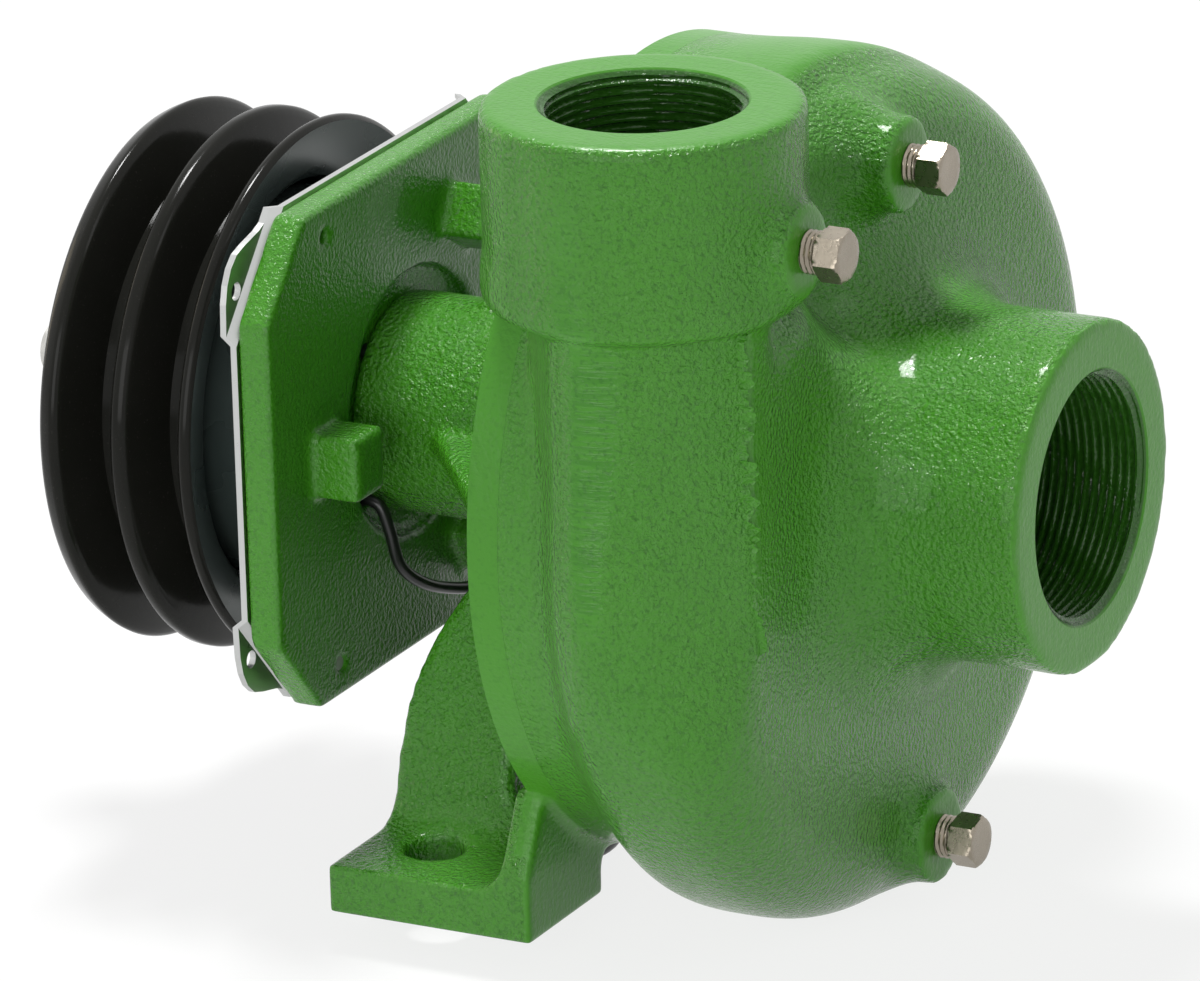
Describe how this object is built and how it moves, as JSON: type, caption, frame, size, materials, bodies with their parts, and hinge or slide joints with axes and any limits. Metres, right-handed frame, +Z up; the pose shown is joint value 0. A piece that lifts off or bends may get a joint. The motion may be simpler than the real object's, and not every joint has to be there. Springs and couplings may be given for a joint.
{
  "type": "centrifugal pump",
  "caption": "End-suction volute centrifugal pump on a pedestal bearing frame, driven by a V-belt pulley through an electromagnetic clutch; threaded suction and discharge ports.",
  "frame": {"origin": "midway between the two foot bolt holes, on the plane that the feet stand on", "axes": "+X along the shaft towards the suction port, +Z up along the discharge, +Y across the feet"},
  "size_m": [0.2814, 0.2164, 0.2191],
  "materials": {
    "cast_green": "gloss enamel over sand-cast iron",
    "bronze": "machined",
    "impeller_iron": "fine cast",
    "nickel_steel": "nickel plated",
    "bright_steel": "machined",
    "bearing_steel": "ground",
    "dark_steel": "dark oxide",
    "zinc_sheet": "zinc plated",
    "copper_winding": "enamelled winding set in resin",
    "black_paint": "gloss black",
    "rubber": "matt",
    "ceramic": "lapped ceramic",
    "carbon": "lapped carbon",
    "wire_black": "insulated lead",
    "connector_blue": "moulded sleeve"
  },
  "bodies": {
    "casing": {"volute_casing": "cast_green", "wear_ring": "bronze", "bearing_frame": "cast_green", "frame_bolts": "dark_steel", "casing_o_ring": "rubber", "gauge_plug": "nickel_steel", "prime_plug": "nickel_steel", "drain_plug": "nickel_steel", "seal_cup": "rubber", "seal_seat": "ceramic", "front_bearing_outer": "bearing_steel", "rear_bearing_outer": "bearing_steel", "bearing_spacer": "dark_steel", "clutch_plate": "cast_green", "plate_screws": "dark_steel", "coil_sheet": "zinc_sheet", "sheet_screws": "zinc_sheet", "coil_housing": "dark_steel", "coil_winding": "copper_winding", "pulley_bearing_inner": "bearing_steel", "nose_snap_ring": "dark_steel", "lead_grommet": "rubber", "lead_wire": "wire_black", "lead_connector": "connector_blue"},
    "rotor": {"shaft": "bright_steel", "impeller": "impeller_iron", "impeller_key": "bright_steel", "impeller_washer": "bright_steel", "impeller_nut": "bright_steel", "seal_ring": "carbon", "seal_spring": "bright_steel", "slinger": "rubber", "front_bearing_inner": "bearing_steel", "rear_bearing_inner": "bearing_steel", "armature_hub": "dark_steel", "hub_key": "bright_steel", "hub_rivets": "bright_steel", "hub_washer": "bright_steel", "hub_nut": "bright_steel"},
    "armature": {"armature_plate": "dark_steel", "armature_rivets": "bright_steel", "leaf_springs": "bright_steel"},
    "pulley": {"pulley": "black_paint", "pulley_bearing_outer": "bearing_steel", "pulley_snap_ring": "dark_steel"},
    "front_balls": {"front_bearing_balls": "bearing_steel"},
    "rear_balls": {"rear_bearing_balls": "bearing_steel"},
    "pulley_balls": {"pulley_bearing_balls": "bearing_steel"}
  },
  "joints": [
    {"name": "shaft_spin", "type": "hinge", "parent": "casing", "child": "rotor", "pos_m": [0.04, 0, 0.101], "axis": [1, 0, 0], "continuous": true},
    {"name": "armature_engage", "type": "slide", "parent": "rotor", "child": "armature", "axis": [1, 0, 0], "range_m": [0, 0.0005], "stiffness_N_per_m": 3000},
    {"name": "pulley_spin", "type": "hinge", "parent": "casing", "child": "pulley", "pos_m": [0.04, 0, 0.101], "axis": [1, 0, 0], "continuous": true},
    {"name": "front_balls_spin", "type": "hinge", "parent": "casing", "child": "front_balls", "pos_m": [0.04, 0, 0.101], "axis": [1, 0, 0], "continuous": true},
    {"name": "rear_balls_spin", "type": "hinge", "parent": "casing", "child": "rear_balls", "pos_m": [0.04, 0, 0.101], "axis": [1, 0, 0], "continuous": true},
    {"name": "pulley_balls_spin", "type": "hinge", "parent": "casing", "child": "pulley_balls", "pos_m": [0.04, 0, 0.101], "axis": [1, 0, 0], "continuous": true}
  ],
  "couplings": [
    {"joint": "front_balls_spin", "follows": "shaft_spin", "ratio": 0.3807},
    {"joint": "rear_balls_spin", "follows": "shaft_spin", "ratio": 0.3807},
    {"joint": "pulley_balls_spin", "follows": "pulley_spin", "ratio": 0.5598}
  ]
}
